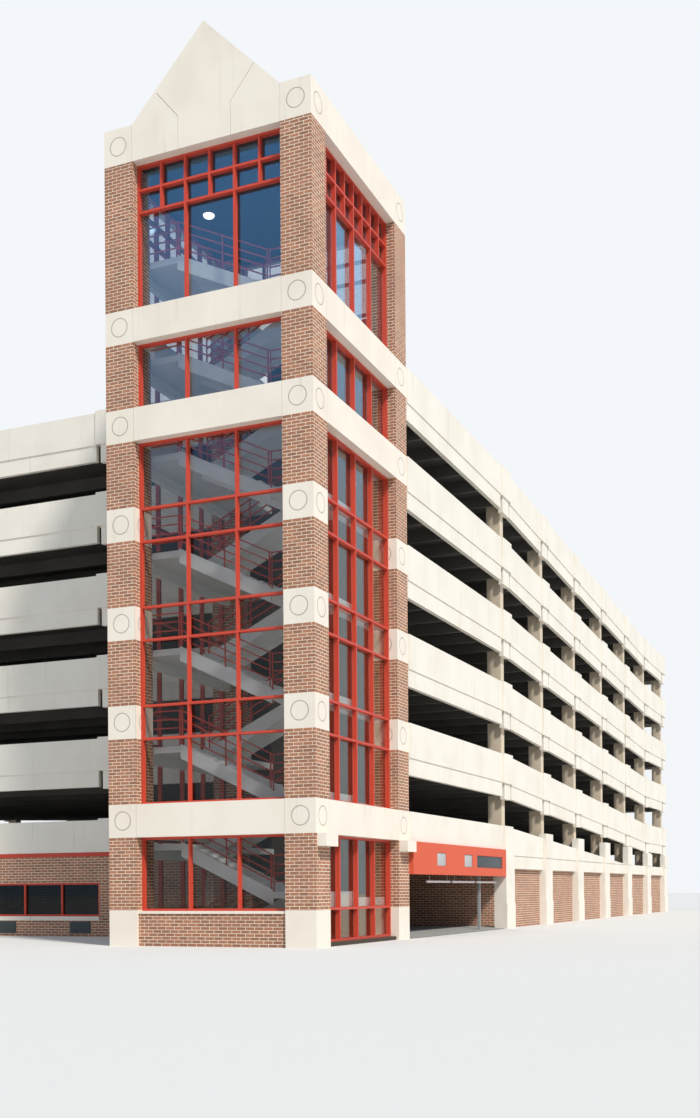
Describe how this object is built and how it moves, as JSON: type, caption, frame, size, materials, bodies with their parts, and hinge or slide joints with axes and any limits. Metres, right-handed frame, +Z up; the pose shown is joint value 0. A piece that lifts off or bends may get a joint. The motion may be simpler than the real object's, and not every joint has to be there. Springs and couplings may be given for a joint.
{
  "type": "multi storey car park with a corner stair tower, at half size",
  "caption": "Precast parking garage with sloping banded sides, joined to a brick and glass stair tower with gables.",
  "frame": {"origin": "middle of the footprint box, at the lowest ground line", "axes": "+Z up, +Y from the street front to the back, +X to the side with the vehicle entrance"},
  "size_m": [18.52, 29.81, 13.894],
  "materials": {
    "cream_precast": "matte",
    "limestone": "matte",
    "brick": "matte",
    "deck_concrete": "matte",
    "pale_plaster": "matte",
    "red_metal": "satin",
    "dark_metal": "satin",
    "roof_metal": "satin",
    "glass": "polished"
  },
  "bodies": {
    "root": {"brick_infills": "brick", "column_covers": "cream_precast", "east_curtain_frames": "red_metal", "east_curtain_glass": "glass", "east_ramp_decks": "deck_concrete", "east_spandrels": "cream_precast", "entrance_fascia": "red_metal", "entrance_post": "pale_plaster", "entrance_side_wall": "brick", "facade_columns": "deck_concrete", "front_brick_wall": "brick", "front_crossover_decks": "deck_concrete", "front_curtain_frames": "red_metal", "front_curtain_glass": "glass", "front_edge_decks": "deck_concrete", "front_gable": "limestone", "front_spandrels": "cream_precast", "front_trim": "red_metal", "front_window_frames": "red_metal", "front_window_glass": "glass", "front_window_sills": "limestone", "ground_floor": "deck_concrete", "middle_columns": "deck_concrete", "middle_walls": "deck_concrete", "pier_corbels": "limestone", "pilasters": "cream_precast", "rear_crossover_decks": "deck_concrete", "rear_curtain_frame": "red_metal", "rear_curtain_glass": "glass", "rear_gable": "limestone", "rear_spandrels": "cream_precast", "roof_guard": "deck_concrete", "stair_beams": "pale_plaster", "stair_flights": "pale_plaster", "stair_landings": "pale_plaster", "stair_rail_posts": "red_metal", "stair_rails": "red_metal", "stair_strings": "pale_plaster", "tower_bands": "limestone", "tower_base_walls": "brick", "tower_brick_piers": "brick", "tower_ceiling": "pale_plaster", "tower_corner_blocks": "limestone", "tower_door_heads": "pale_plaster", "tower_floor": "deck_concrete", "tower_pier_feet": "limestone", "tower_rear_wall": "pale_plaster", "tower_roof": "roof_metal", "tower_sills": "limestone", "wall_vents": "dark_metal", "west_curtain_frames": "red_metal", "west_curtain_glass": "glass", "west_ramp_decks": "deck_concrete", "west_spandrels": "cream_precast"}
  },
  "joints": []
}
